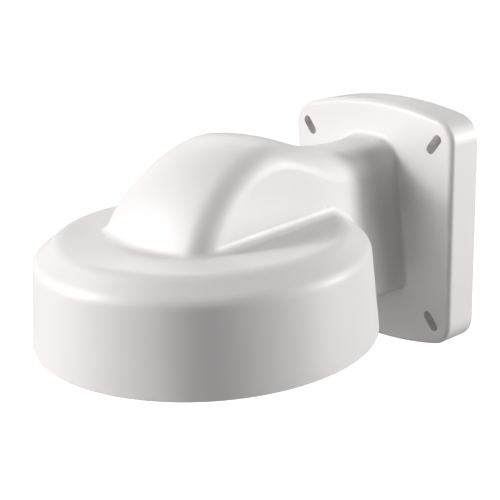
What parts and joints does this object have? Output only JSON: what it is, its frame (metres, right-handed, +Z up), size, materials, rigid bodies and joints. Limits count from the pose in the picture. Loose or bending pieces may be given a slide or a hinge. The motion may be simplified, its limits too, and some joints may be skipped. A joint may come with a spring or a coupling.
{
  "type": "camera wall bracket",
  "caption": "Hollow white wall bracket for a dome camera: square flange with corner slots, gooseneck arm and a round cap with an internal camera plate.",
  "frame": {"origin": "middle of the wall flange's back face, on the wall plane", "axes": "X across, +Y into the wall, so the bracket reaches towards -Y, +Z up; the bracket is a mirror image about X = 0 apart from the hook inside the cap"},
  "size_m": [0.165, 0.2165, 0.1314],
  "materials": {
    "housing_coat": "satin white powder coat with a very fine orange peel",
    "seal_rubber": "black EPDM, matte",
    "seal_foam": "closed-cell black sealing cord, matte",
    "plate_steel": "zinc-plated sheet steel, rolled grain",
    "nut_steel": "zinc-plated, turned",
    "grommet_rubber": "black moulded rubber, slight bloom",
    "screw_steel": "stainless steel, satin",
    "washer_steel": "zinc-plated spring steel",
    "earth_brass": "plain brass, lightly tarnished",
    "hook_steel": "zinc-plated bent strip",
    "plug_plastic": "off-white moulded nylon, fine spark texture"
  },
  "bodies": {
    "root": {"bracket_housing": "housing_coat", "wall_gasket": "seal_rubber", "rim_seal": "seal_foam", "camera_plate": "plate_steel", "press_nuts": "nut_steel", "cable_grommet": "grommet_rubber", "plate_screws": "screw_steel", "plate_washers": "washer_steel", "earth_washer": "washer_steel", "earth_screw": "earth_brass", "safety_hook": "hook_steel", "hook_screw": "screw_steel", "conduit_plug": "plug_plastic", "plug_seal": "seal_rubber"}
  },
  "joints": []
}
